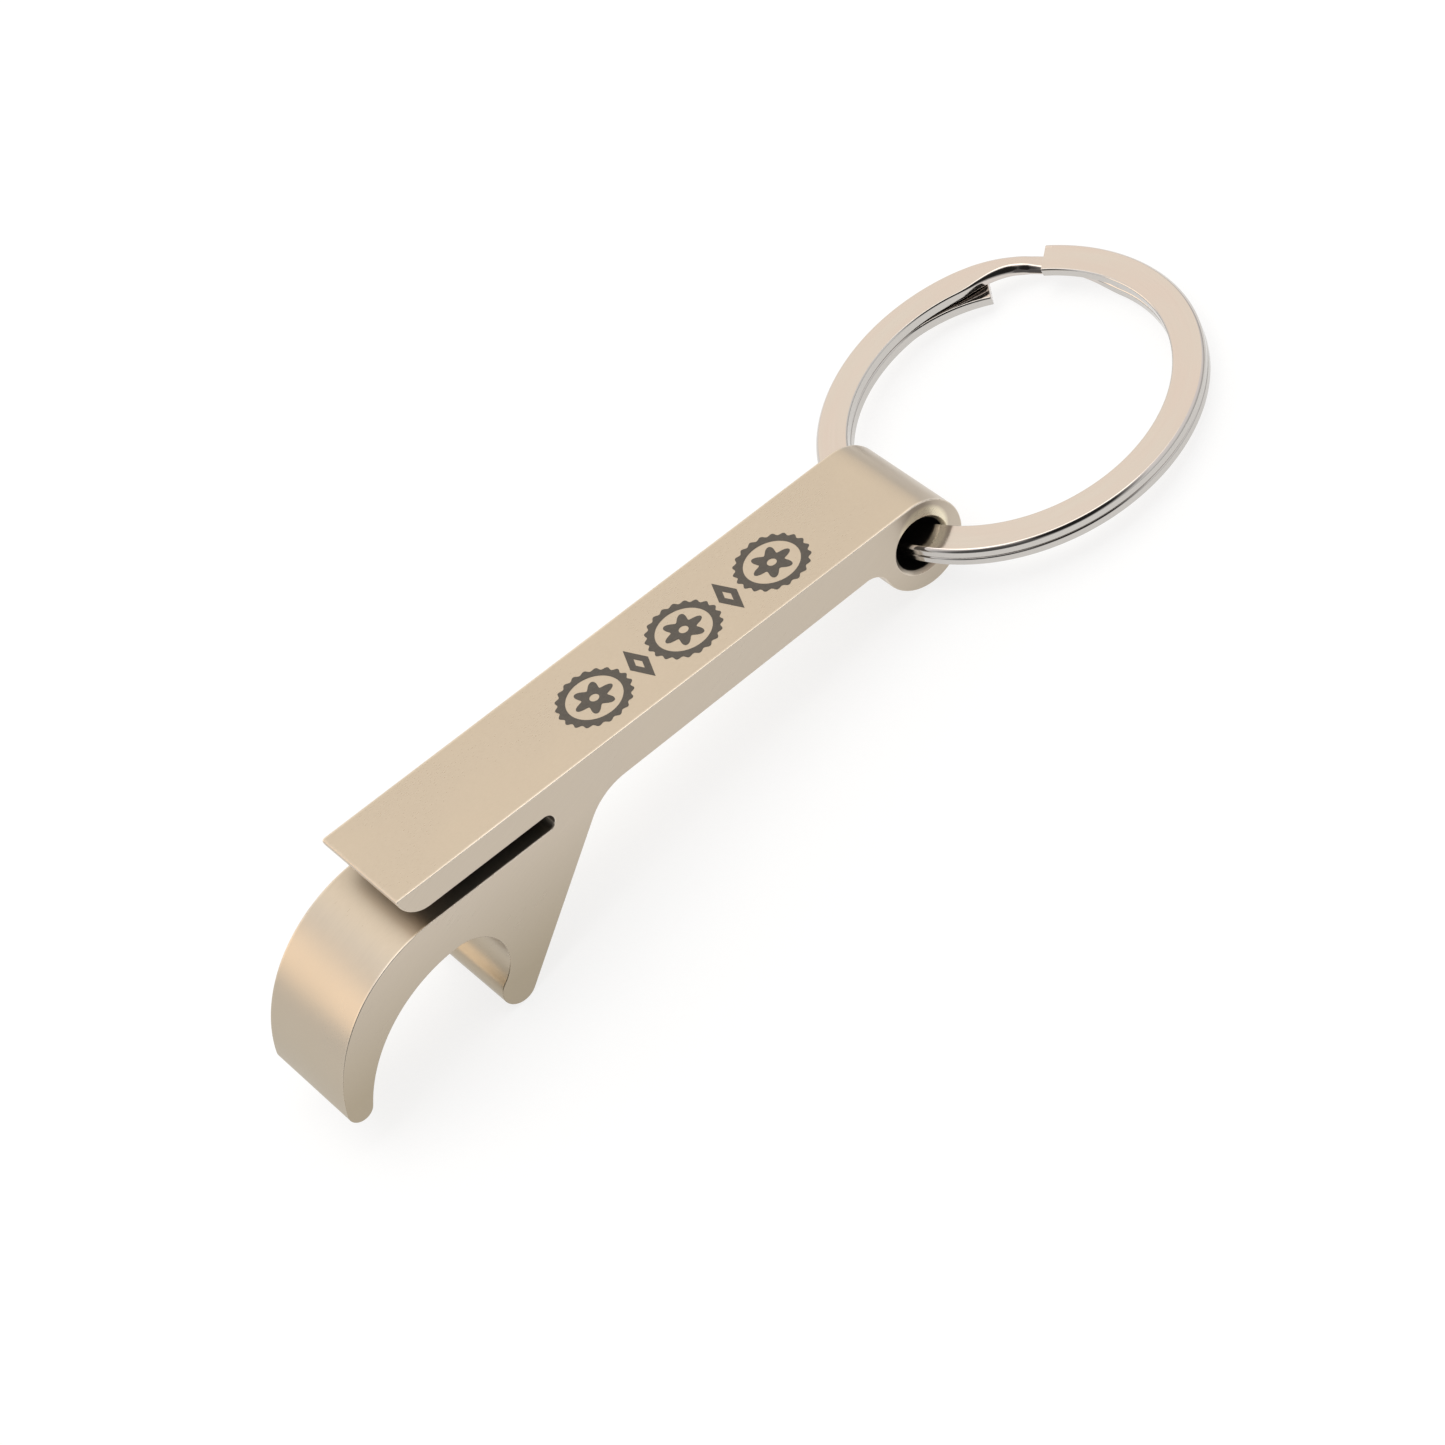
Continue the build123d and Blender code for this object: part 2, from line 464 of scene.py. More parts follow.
@dataclass(frozen=True)
class SatinChampagne:
    """Bead-blasted body plated in champagne nickel, rubbed bright on its edges.

    Attributes:
        plate: colour of the plating.
        clouded: colour of its cloudy patches.
        rubbed: colour where handling has polished it.
        crescent_glint_and_wear: colour of the bright crescent over the bore, a painted glint with
            some rubbed wear.
        deep: painted shade low down on the prong and the hook, darker towards the bottom.
        deep_from: where that starts and is full, mm below the bore, square to the handle.
        deep_share: how much of it there is at most.
        shaded: painted shade in the slot and the bore, and on the hook under the tongue.
        roughness: of the blasted surface.
        crescent_middle: middle of the crescent's circle, mm along and above the bore.
        crescent_rim: radii between which the circle fades, mm.
        crescent_skin: distances from the middle of the width where it sets in, mm.
        grain: the blasted grain, grain_depth mm deep.
        lines: lengthwise polishing lines, line_depth mm deep.
        tone: cloudy patches.
        hairs: sparse hairlines, at a slant.
    """

    plate: tuple = (0.538, 0.470, 0.388, 1.0)
    clouded: tuple = (0.560, 0.482, 0.385, 1.0)
    rubbed: tuple = (0.760, 0.680, 0.580, 1.0)
    crescent_glint_and_wear: tuple = (0.950, 0.860, 0.660, 1.0)
    deep: tuple = (0.400, 0.340, 0.250, 1.0)
    deep_from: tuple = (0.5, 10.0)
    deep_share: float = 0.9
    shaded: tuple = (0.030, 0.027, 0.024, 1.0)
    roughness: float = 0.31
    crescent_middle: tuple = (0.45, 0.95)
    crescent_rim: tuple = (2.05, 2.4)
    crescent_skin: tuple = (4.6, 4.7)
    grain: Pattern = Pattern((11.0, 11.0, 11.0))
    grain_depth: float = 0.0018
    lines: Pattern = Pattern((0.35, 9.0, 9.0))
    line_depth: float = 0.0025
    tone: Pattern = Pattern((0.10, 0.16, 0.16), 2.0, 0.5)
    hairs: Pattern = Pattern((0.16, 5.0, 5.0), 1.0, 0.4, LEAN + 0.35)

    def depth(self, nodes: Nodes) -> bpy.types.NodeSocket:
        """Share of painted shade low down, rising from 0 to 1 with the depth below the bore.

        Args:
            nodes: the material's nodes.

        Returns:
            The share's socket.
        """
        sockets = {0: nodes.where(), 1: tuple(-ABOVE / MM)}
        below = nodes.add("ShaderNodeVectorMath", sockets, operation="DOT_PRODUCT")
        bore = float(ABOVE @ BORE_AXIS)
        return nodes.span(below.outputs["Value"], tuple(mm - bore for mm in self.deep_from))

    def crescent(self, nodes: Nodes) -> bpy.types.NodeSocket:
        """Share of the painted glint with rubbed wear on the side faces and the bevel over the
        bore's mouth.

        1 within a circle with a soft rim that is set up and along from the bore's axis,
        on the outermost part of the width.

        Args:
            nodes: the material's nodes.

        Returns:
            The share's socket.
        """
        along, above = self.crescent_middle
        middle = BORE_AXIS + along * ALONG + above * ABOVE
        sockets = {"Vector": nodes.where(), "Location": tuple(-middle * MM)}
        centred = nodes.add("ShaderNodeMapping", sockets).outputs["Vector"]
        sockets = {0: centred, 1: (1 / MM, 0.0, 1 / MM)}
        flat = nodes.add("ShaderNodeVectorMath", sockets, operation="MULTIPLY").outputs["Vector"]
        reach = nodes.add("ShaderNodeVectorMath", {0: flat}, operation="LENGTH").outputs["Value"]
        near = nodes.span(reach, self.crescent_rim, (1.0, 0.0))
        apart = nodes.add("ShaderNodeSeparateXYZ", {"Vector": centred})
        side = nodes.math("ABSOLUTE", apart.outputs["Y"])
        skin = nodes.span(side, tuple(mm * MM for mm in self.crescent_skin))
        return nodes.math("MULTIPLY", near, skin)

    def build(self) -> bpy.types.Material:
        """Makes the material.

        Returns:
            A metal with fine blasted grain, faint lengthwise polishing lines, a cloudy
            tone, sparse hairlines and polished edges.
        """
        material, nodes = blank_material("satin_champagne_plate")
        lines, tone = nodes.cloud(self.lines), nodes.cloud(self.tone)
        hairs = nodes.span(nodes.cloud(self.hairs), (0.74, 0.82))
        recess_shade, crescent, below = nodes.mark("recess_shade"), self.crescent(nodes), self.depth(nodes)
        patchy = nodes.span(tone, (0.35, 0.65), (0.55, 1.0))
        worn = nodes.math("MULTIPLY", nodes.mark("edge"), patchy)

        colour = self.plate
        for share, over in (
            (nodes.span(tone, NOISE_RANGE, (0.0, 0.5)), self.clouded),
            (nodes.span(lines, NOISE_RANGE, (0.0, 0.10)), self.rubbed),
            (nodes.math("MULTIPLY", worn, nodes.math("SUBTRACT", 1.0, below)), self.rubbed),
            # painted glint with some rubbed wear, a bright crescent over the bore's mouth
            (crescent, self.crescent_glint_and_wear),
            # painted shade, darker towards the bottom of the prong and the hook
            (nodes.math("MULTIPLY", below, self.deep_share), self.deep),
            # painted shade in the slot, the bore and on the hook under the tongue
            (recess_shade, self.shaded),
        ):
            colour = nodes.blend(share, colour, over)

        rough = nodes.span(lines, NOISE_RANGE, (self.roughness - 0.035, self.roughness + 0.035))
        rough = nodes.math("ADD", rough, nodes.span(tone, NOISE_RANGE, (-0.02, 0.02)))
        for share, change in ((worn, -0.04), (hairs, -0.03), (crescent, -0.03), (recess_shade, 0.25)):
            rough = nodes.math("ADD", rough, nodes.math("MULTIPLY", share, change))

        relief = nodes.bump(nodes.cloud(self.grain), self.grain_depth)
        relief = nodes.bump(lines, self.line_depth, relief)
        nodes.dress({"Base Color": colour, "Metallic": 1.0, "Roughness": rough, "Normal": relief})
        return material


@dataclass(frozen=True)
class PolishedNickel:
    """Drawn strip plated in bright nickel.

    Attributes:
        plate: colour of the plating.
        warm: colour where the plating takes a rosy tint.
        drawn: colour of the drawing lines.
        narrow: painted shade on the strip's narrow sides, greyer and darker than its faces.
        narrow_from: distances from the strip's middle line where that sets in, mm.
        roughness: of the polished strip.
        lines: drawing lines along the strip, line_depth mm deep.
        tone: cloudy tint.
        rubs: hairlines from keys, rub_depth mm deep.
    """

    plate: tuple = (0.655, 0.610, 0.570, 1.0)
    warm: tuple = (0.665, 0.590, 0.550, 1.0)
    drawn: tuple = (0.52, 0.47, 0.42, 1.0)
    narrow: tuple = (0.570, 0.545, 0.515, 1.0)
    narrow_from: tuple = (1.12, 1.26)
    roughness: float = 0.11
    lines: Pattern = Pattern((0.12, 7.0, 7.0), turn=0.0, mark="strip")
    line_depth: float = 0.0016
    tone: Pattern = Pattern((0.14, 0.8, 0.8), 2.0, 0.5, 0.0, "strip")
    rubs: Pattern = Pattern((1.2, 5.0, 5.0), 2.0, 0.5, 0.0, "strip")
    rub_depth: float = -0.0012

    def build(self) -> bpy.types.Material:
        """Makes the material.

        Returns:
            A bright metal with drawing lines along the strip, a cloudy tint and
            hairlines from keys rubbing.
        """
        material, nodes = blank_material("polished_nickel_strip")
        lines = nodes.cloud(self.lines)
        rubs = nodes.span(nodes.cloud(self.rubs), (0.66, 0.74))
        apart = nodes.add("ShaderNodeSeparateXYZ", {"Vector": nodes.where("strip")})
        across = nodes.math("ABSOLUTE", apart.outputs["Y"])

        colour = self.plate
        for share, over in (
            (nodes.span(nodes.cloud(self.tone), NOISE_RANGE), self.warm),
            (nodes.span(lines, NOISE_RANGE, (0.0, 0.12)), self.drawn),
            # painted shade: the strip's narrow sides darker and greyer than its faces
            (nodes.span(across, self.narrow_from), self.narrow),
        ):
            colour = nodes.blend(share, colour, over)

        rough = nodes.span(lines, NOISE_RANGE, (self.roughness - 0.02, self.roughness + 0.03))
        for share, change in ((rubs, 0.08), (nodes.mark("edge"), -0.03)):
            rough = nodes.math("ADD", rough, nodes.math("MULTIPLY", share, change))

        relief = nodes.bump(lines, self.line_depth)
        relief = nodes.bump(rubs, self.rub_depth, relief)
        nodes.dress({"Base Color": colour, "Metallic": 1.0, "Roughness": rough, "Normal": relief})
        return material


@dataclass(frozen=True)
class MarkingInk:
    """Dark burnt marking on the handle.

    Attributes:
        dark: colour where it is dense.
        thin: colour where the plating shows through.
        passes: lengthwise burn lines.
        mottle: uneven patches.
        depth: depth of the relief, mm.
    """

    dark: tuple = (0.062, 0.052, 0.042, 1.0)
    thin: tuple = (0.092, 0.078, 0.062, 1.0)
    passes: Pattern = Pattern((0.6, 10.0, 10.0), 2.0, 0.5)
    mottle: Pattern = Pattern((3.0, 3.0, 3.0))
    depth: float = 0.003

    def build(self) -> bpy.types.Material:
        """Makes the material.

        Returns:
            A matt coating with fine burn lines and mottling.
        """
        material, nodes = blank_material("burnt_marking")
        mixed = nodes.math("ADD", nodes.cloud(self.passes), nodes.cloud(self.mottle))
        mixed = nodes.math("MULTIPLY", mixed, 0.5)
        nodes.dress(
            {
                "Base Color": nodes.blend(nodes.span(mixed, (0.35, 0.65)), self.dark, self.thin),
                "Roughness": nodes.span(mixed, NOISE_RANGE, (0.48, 0.66)),
                "Normal": nodes.bump(mixed, self.depth),
            }
        )
        return material


@dataclass(frozen=True)
class StudioPaper:
    """Plain pale paper on a softly lit table.

    Attributes:
        colour: of the paper.
        fibre: its faint fibre, fibre_depth mm deep.
        fibre_shade: share of the colour that the fibre's shade leaves.
        glow: how much light comes up through it.
    """

    colour: tuple = (0.24, 0.24, 0.24, 1.0)
    fibre: Pattern = Pattern((0.8, 0.8, 0.8), turn=0.0)
    fibre_depth: float = 0.02
    fibre_shade: float = 0.985
    glow: float = 0.78

    def build(self) -> bpy.types.Material:
        """Makes the material.

        Returns:
            A matt paper that glows evenly.
        """
        material, nodes = blank_material("studio_paper")
        fibre = nodes.cloud(self.fibre)
        shaded = tuple(self.fibre_shade * c for c in self.colour[:3]) + (1.0,)
        nodes.dress(
            {
                "Base Color": nodes.blend(nodes.span(fibre, NOISE_RANGE), shaded, self.colour),
                "Normal": nodes.bump(fibre, self.fibre_depth),
                "Emission Color": (1.0, 1.0, 1.0, 1.0),
                "Emission Strength": self.glow,
                "Roughness": 0.85,
                "Specular IOR Level": 0.2,
            }
        )
        return material


# ------------------------------------------------------------------ opener body
@dataclass
class OpenerBody:
    """One solid body: boss and bore, handle, slotted tongue, hook and prong.

    All sizes are mm, with u and v measured from the bore's axis.  The painted shade in the slot
    sets in over runs of u, each with its share, stops a little past the slot's end, and fades out
    on the hook below the slot's floor, where it stands for the tongue's shadow.
    """

    width: float = 10.0
    boss_radius: float = 3.8
    bore_radius: float = 2.2
    bore_bevel: float = 0.30
    bore_softness: float = 0.10
    edge_bevel: float = 0.055
    edge_softness: float = 0.10
    worn_width: float = 0.16
    underside: float = 0.0
    underside_slope: float = 0.97
    boss_fillet: float = 1.6
    tongue_length: float = 49.05
    tongue_thickness: float = 2.3
    tongue_corner: float = 0.25
    slot_gap: float = 1.43
    slot_end: float = 36.15
    hook_back_radius: float = 12.15
    hook_back_u: float = -47.3
    hook_inner_radius: float = 11.7
    hook_tip_radius: float = 1.1
    crown_u: float = -46.3
    crown_thickness: float = 3.72
    throat_radius: float = 3.4
    prong_direction: float = -51.5
    prong_tip_radius: float = 1.5
    prong_flank: float = 47.3
    prong_fillet: float = 5.0
    slot_shade: tuple = ((0.40, -50.6, -47.4), (0.60, -47.0, -42.5))
    slot_shade_drop: float = 1.6
    slot_shade_stop: float = 0.6
    mouth_shade: tuple = (0.02, 0.5)
    wall_spans: int = 6

    def tongue(self) -> Stroke:
        """Top face, rounded tongue end, and the slot between tongue and hook.

        The end's small corner circle touches the top face and the inside of its arc.

        Returns:
            The run, from over the bore to the slot's floor.
        """
        top, corner, thick = self.boss_radius, self.tongue_corner, self.tongue_thickness
        roof = top - thick
        middle = np.array([-self.slot_end, roof - self.slot_gap / 2])
        end = np.array([thick - self.tongue_length, top])
        sink = math.degrees(math.asin(corner / (thick - corner)))
        nib = polar(end, thick - corner, 180 + sink)
        return (
            straight(np.array([0.0, top]), np.array([nib[0], top]))
            + arc(nib, corner, 90, 90 + sink, step=10)
            + arc(end, thick, 180 + sink, 90 - sink)
            + straight(np.array([end[0], roof]), np.array([middle[0], roof]))
            + arc(middle, self.slot_gap / 2, 90, -180, step=6)
        )

    def hook(self) -> Stroke:
        """Slot floor, back of the hook, its tip and the inside of the mouth.

        The tip's circle touches the back's from inside and the mouth's from outside, so
        the cosine rule on the three middles places it.

        Returns:
            The run, from the slot's end to the top of the mouth.
        """
        floor = self.boss_radius - self.tongue_thickness - self.slot_gap
        back = np.array([self.hook_back_u, floor - self.hook_back_radius])
        crown_v = floor - self.crown_thickness
        inner = np.array([self.crown_u, crown_v - self.hook_inner_radius])
        near = self.hook_back_radius - self.hook_tip_radius
        far = self.hook_inner_radius + self.hook_tip_radius
        gap = math.hypot(*(inner - back))
        opening = math.degrees(math.acos((near**2 + gap**2 - far**2) / (2 * near * gap)))
        lip = bearing(back, inner) - opening
        tip = polar(back, near, lip)
        lip_end = bearing(tip, inner)
        return (
            straight(np.array([-self.slot_end, floor]), np.array([self.hook_back_u, floor]))
            + arc(back, self.hook_back_radius, 90, lip - 90, step=1.5)
            + arc(tip, self.hook_tip_radius, lip, lip_end - lip, step=5)
            + arc(inner, self.hook_inner_radius, lip_end - 180, 270 - lip_end, step=1.5)
        )

    def prong(self) -> tuple[Stroke, np.ndarray]:
        """Throat, prong tip and flank up to the fillet under the handle.

        Returns:
            The run, and the point where it reaches the handle's underside.
        """
        crown_v = self.boss_radius - self.tongue_thickness - self.slot_gap - self.crown_thickness
        throat = np.array([self.crown_u, crown_v - self.throat_radius])
        heading = self.prong_direction
        tip = polar(throat, self.throat_radius + self.prong_tip_radius, heading)
        facing = self.prong_flank - 90
        flank = polar(tip, self.prong_tip_radius, facing)
        up = polar((0, 0), 1, self.prong_flank)
        root = flank + up * (self.underside - flank[1]) / up[1]
        away = polar((0, 0), 1, self.underside_slope)
        turn = self.prong_flank - self.underside_slope
        reach = self.prong_fillet * math.tan(math.radians(turn / 2))
        start = root - up * reach
        centre = start + self.prong_fillet * np.array([up[1], -up[0]])
        run = (
            arc(throat, self.throat_radius, 90, heading - 90)
            + arc(tip, self.prong_tip_radius, heading + 180, facing - heading + 180, step=5)
            + straight(flank, start)
            + arc(centre, self.prong_fillet, self.prong_flank + 90, -turn)
        )
        return run, root + away * reach

    def handle_and_boss(self, start: np.ndarray) -> Stroke:
        """Underside from the prong to the boss, the fillet there, and the boss.

        Args:
            start: point where the prong's fillet ends.

        Returns:
            The run, which ends at the top face.
        """
        slope, fillet, boss = self.underside_slope, self.boss_fillet, self.boss_radius
        away, up = polar((0, 0), 1, slope), polar((0, 0), 1, slope + 90)
        drop = float(start @ up) - fillet
        centre = drop * up - math.sqrt((boss + fillet) ** 2 - drop**2) * away
        touch = bearing((0, 0), centre)
        return (
            straight(start, centre + fillet * up)
            + arc(centre, fillet, slope + 90, touch - 180 - (slope + 90))
            + arc((0, 0), boss, touch, 450 - touch)
        )

    def outline(self) -> Stroke:
        """Closed side outline, anticlockwise, with the metal on its left."""
        prong, start = self.prong()
        return self.tongue() + self.hook() + prong + self.handle_and_boss(start)

    def wall(self, line: Stroke, section: np.ndarray) -> tuple[np.ndarray, ...]:
        """Carries an edge section round a closed outline and across the width.

        point(i, j) = line(i) - inset(j) * outward(i), at depth(j) in from either side
        face, and the facing turns from the side face to outward by angle(j).

        Args:
            line: the closed outline.
            section: inset, depth and angle rows, from the side face inwards.

        Returns:
            Points and facings with one row per outline point and one column per
            section point, and each one's share of worn edge, its u and v, and its
            distance across.
        """
        half = self.width / 2
        unworn = half - section[-1, 1] - self.worn_width
        flat = np.linspace(-unworn, unworn, self.wall_spans - 1)
        inset = np.concatenate([section[:, 0], np.zeros(len(flat)), section[::-1, 0]])
        side = np.concatenate([section[:, 1] - half, flat, half - section[::-1, 1]])
        turn = np.concatenate([section[:, 2], np.full(len(flat), math.pi / 2), section[::-1, 2]])
        hand = np.sign(side)
        points = line.points[:, None] - inset[None, :, None] * line.outward[:, None]
        side = np.broadcast_to(side, points.shape[:2])
        sines = np.broadcast_to(np.sin(turn), side.shape)
        facing = to_frame(line.outward[:, None] * sines[..., None], hand * np.cos(turn)) - BORE_AXIS
        worn = np.sin(np.minimum(2 * turn, math.pi / 2)) * (turn < math.pi / 2 - 1e-6)
        worn[[len(section) - 1, -len(section)]] = 1.0
        return to_frame(points, side), facing, np.broadcast_to(worn, side.shape), points, side

    def recess_shade(self, flat: np.ndarray, side: np.ndarray) -> np.ndarray:
        """Share of painted shade in the slot and the bore, and on the hook under the tongue, from 0
        to 1.

        The slot's roof and the bore's wall count with a hair to spare.

        Args:
            flat: u and v of each point.
            side: distance of each point from the middle of the width.

        Returns:
            The share of painted shade at each point, which rises from the side faces inwards.
        """
        u, v = flat[..., 0], flat[..., 1]
        roof = self.boss_radius - self.tongue_thickness
        floor = roof - self.slot_gap
        # painted shade in the slot, fading onto the hook where the tongue's shadow falls
        slot = (v < roof + 0.01) * smooth(v, floor - self.slot_shade_drop, floor)
        slot = slot * sum(share * smooth(u, *limits) for share, *limits in self.slot_shade)
        slot = slot * (u < self.slot_shade_stop - self.slot_end)
        bore = np.hypot(u, v) < self.bore_radius + 0.05
        mouth = smooth(self.width / 2 - np.abs(side), *self.mouth_shade)
        return np.maximum(slot * mouth, bore * mouth)

    def shell(self) -> Shell:
        """Closed surface: outer wall, bore wall and the two flat side faces.

        Returns:
            The surface, with the marks "edge" and "recess".
        """
        circle = arc((0, 0), self.bore_radius, 0, -360, step=3.75)
        walls, rims, total = [], [], 0
        for line, section in (
            (self.outline(), softened_edge(self.edge_bevel, self.edge_softness)),
            (circle, softened_edge(self.bore_bevel, self.bore_softness)),
        ):
            points, facing, edge, flat, side = self.wall(line, section)
            rows, columns = side.shape
            marks = {"edge": edge.ravel(), "recess_shade": self.recess_shade(flat, side).ravel()}
            faces = lattice(rows, columns, True, False).tolist()
            walls.append(Shell(points.reshape(-1, 3), facing.reshape(-1, 3), faces, marks))
            numbers = total + np.arange(rows) * columns
            rims.append((numbers, numbers + columns - 1, flat[:, 0]))
            total += rows * columns
        body = walls[0].join(walls[1])
        corners = filled([rim[2] for rim in rims])
        near = np.concatenate([rim[0] for rim in rims])[corners]
        far = np.concatenate([rim[1] for rim in rims])[corners]
        body.faces += outward_triangles(body, near) + outward_triangles(body, far)
        return body

    def make(self) -> bpy.types.Object:
        """Builds the body and puts it in place of its CAD node.

        Returns:
            The body.
        """
        piece = self.shell().piece(
            "satin_opener_body", Rider.OPENER, Finish.SATIN, SatinChampagne().build()
        )
        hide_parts("opener_body")
        return piece


def filled(loops: list) -> np.ndarray:
    """Triangles that fill a flat outline and leave its round holes open.

    A triangle with no corner on the outline lies in a hole, so it is left out.

    Args:
        loops: the outline and then its holes, each an array of points in order.

    Returns:
        Three point numbers a row, counted through the loops one after another.
    """
    starts = np.cumsum([0] + [len(loop) for loop in loops])
    edges = [
        np.column_stack([np.arange(first, last), np.roll(np.arange(first, last), -1)])
        for first, last in zip(starts[:-1], starts[1:])
    ]
    places = [Vector(point) for point in np.vstack(loops).tolist()]
    _, _, drawn, came_from, _, _ = delaunay_2d_cdt(places, np.vstack(edges).tolist(), [], 1, 1e-7)
    numbers = np.array([first[0] for first in came_from])
    corners = numbers[np.array(drawn)]
    return corners[(corners < len(loops[0])).any(axis=1)]


def outward_triangles(shell: Shell, triangles: np.ndarray) -> list:
    """Triangles turned so that each one faces the way its corners do.

    A triangle is reversed when (b - a) x (c - a) points against its first corner's
    facing.

    Args:
        shell: the surface that they close.
        triangles: three point numbers a row.

    Returns:
        The same triangles, as lists.
    """
    a, b, c = (shell.points[triangles[:, k]] for k in range(3))
    along = np.einsum("ij,ij->i", np.cross(b - a, c - a), shell.facings[triangles[:, 0]])
    return np.where((along < 0)[:, None], triangles[:, ::-1], triangles).tolist()


# ------------------------------------------------------------------ split ring
@dataclass
class SplitRing:
    """Flattened wire wound in two close turns, stepped from the upper turn to the lower.

    Angles are degrees round the ring from its far point, sizes mm.  The pair's two outer
    corners are worn to near-flat bevels, the others are small.  In the step the wire is
    narrower and rounder than on the turns, and the ranges for that are degrees past one
    whole turn from the upper cut end.  A corner is at most corner_limit of the half height,
    and wear_gain says how fast its rubbed edge sets in.
    """

    outer_radius: float = 15.5
    strip_width: float = 2.6
    strip_thickness: float = 0.86
    turn_gap: float = 0.04
    worn_corner: float = 0.27
    corner: float = 0.12
    corner_power: float = 1.5
    corner_limit: float = 0.96
    corner_points: int = 9
    side_points: tuple = (14, 4, 14, 4)
    wear_gain: float = 3.0
    reach: float = 13.65
    dip: float = 5.758
    upper_cut: float = 37.0
    lower_cut: float = 57.0
    step_start: float = 61.0
    step_end: float = 36.4
    step_power: float = 1.5
    step_narrowing: float = 0.84
    narrowing_in: tuple = (-31.0, -10.0)
    narrowing_out: tuple = (3.0, 30.0)
    step_corner: float = 0.52
    step_thickening: float = 0.34
    thickening_in: tuple = (-27.0, -12.0)
    thickening_out: tuple = (-9.0, -1.0)
    lowering: tuple = (-15.0, 15.0)
    flare_start: float = 88.0
    flare_in: float = 0.78
    flare_down: float = 0.10
    flare_power: float = 1.2
    spring_angle: float = 46.0
    spring_twist: float = 6.0
    spring_up: float = 0.24
    spring_power: float = 1.6
    end_softness: float = 0.08
    fine_steps: tuple = (328, 364, 0.4)

    def section(self) -> np.ndarray:
        """Points round the wire's section, anticlockwise from its outer side.

        A point is (sx (a - c) + c x(t), sy (b - c) + c y(t)) for half sizes a and b and
        corner size c; sx and sy are 1 or -1 on a corner and cross over between.  x and y
        are cos t and sin t, kept with their signs and raised to the corner's power, which
        flattens it towards a bevel.

        Returns:
            Rows of sx, sy, x and y.
        """
        corners = np.array([(1, 1), (-1, 1), (-1, -1), (1, -1)], float)
        turn = np.linspace(0, math.pi / 2, self.corner_points)
        rows = []
        for quarter, flat in enumerate(self.side_points):
            here, there = corners[quarter], corners[(quarter + 1) % 4]
            angle = turn + quarter * math.pi / 2
            share = np.linspace(0, 1, flat + 2)[1:-1, None]
            signs = np.vstack([np.repeat(here[None], len(turn), 0), here + share * (there - here)])
            angle = np.concatenate([angle, np.full(flat, angle[-1])])
            rows.append(np.column_stack([signs, np.cos(angle), np.sin(angle)]))
        rows = np.vstack(rows)
        rows[:, 2:] = np.sign(rows[:, 2:]) * np.abs(rows[:, 2:]) ** self.corner_power
        return rows

    def length(self) -> float:
        """Angle wound from the upper cut end to the lower one, in degrees."""
        return 720 - (self.lower_cut - self.upper_cut)

    def flare(self, wound: np.ndarray) -> np.ndarray:
        """Share of the lower end's flare, 0 before it starts and 1 at the cut."""
        start = self.length() - (self.flare_start - self.lower_cut)
        return np.clip((wound - start) / (self.length() - start), 0, 1) ** self.flare_power

    def spring(self, wound: np.ndarray) -> np.ndarray:
        """Share by which the upper end has sprung and twisted, 1 at its cut."""
        return np.clip(1 - wound / self.spring_angle, 0, 1) ** self.spring_power

    def level(self, wound: np.ndarray) -> np.ndarray:
        """Height of the wire's middle above the ring's plane.

        half * (1 - 2 t^power) over the step, t being the share of the step that is done,
        plus the sprung end's rise and less the flared end's drop.

        Args:
            wound: angles from the upper cut end, in degrees.

        Returns:
            The heights, mm.
        """
        half = (self.strip_thickness + self.turn_gap) / 2
        start = 360 + self.upper_cut - self.step_start
        share = np.clip((wound - start) / (self.step_start - self.step_end), 0, 1)
        ends = self.spring_up * self.spring(wound) - self.flare_down * self.flare(wound)
        return half * (1 - 2 * share**self.step_power) + ends

    def sizes(self, wound: np.ndarray, section: np.ndarray) -> tuple[np.ndarray, ...]:
        """Half width, half thickness and corner size along the wire.

        Width and thickness leave their usual sizes before the step, and come back under
        the upper turn.  A corner is worn by how far it is outside: (1 + sx) / 2 times
        (1 + sy) / 2 on the upper turn, and (1 - sy) / 2 on the lower.

        Args:
            wound: column of angles from the upper cut end, in degrees.
            section: rows of the wire's section.

        Returns:
            The three sizes in mm, the last one for each point of the section.
        """
        past = wound - 360
        narrow = smooth(past, *self.narrowing_in) * (1 - smooth(past, *self.narrowing_out))
        thick = smooth(past, *self.thickening_in) * (1 - smooth(past, *self.thickening_out))
        width = self.strip_width - self.step_narrowing * narrow
        height = self.strip_thickness + self.step_thickening * thick
        lower = smooth(past, *self.lowering)
        outside = (1 + section[:, 1] * (1 - 2 * lower)) / 2 * (1 + section[:, 0]) / 2
        corner = self.corner + (self.worn_corner - self.corner) * outside
        corner = corner + (self.step_corner - corner) * narrow
        return width / 2, height / 2, np.minimum(corner, self.corner_limit * height / 2)

    def path(self) -> tuple[np.ndarray, np.ndarray]:
        """Steps along the wire, closer together in the step and at the cut ends.

        At an end the section is drawn in by soft * (1 - cos a) within the last
        soft * (1 - sin a) of the wire, which softens the cut's rim.

        Returns:
            Angles wound in degrees, and how far the section is drawn in at each, mm.
        """
        turn = np.radians(np.linspace(90, 0, 7))
        middle = self.outer_radius - self.strip_width / 2
        ease = np.degrees(self.end_softness * (1 - np.sin(turn)) / middle)
        pull = self.end_softness * (1 - np.cos(turn))
        length = self.length()
        first, last, fine = self.fine_steps
        steps = np.concatenate(
            [np.arange(1, first), np.arange(first, last, fine), np.arange(last, length)]
        )
        wound = np.concatenate([ease, steps, length - ease[::-1]])
        return wound, np.concatenate([pull, np.zeros(len(steps)), pull[::-1]])

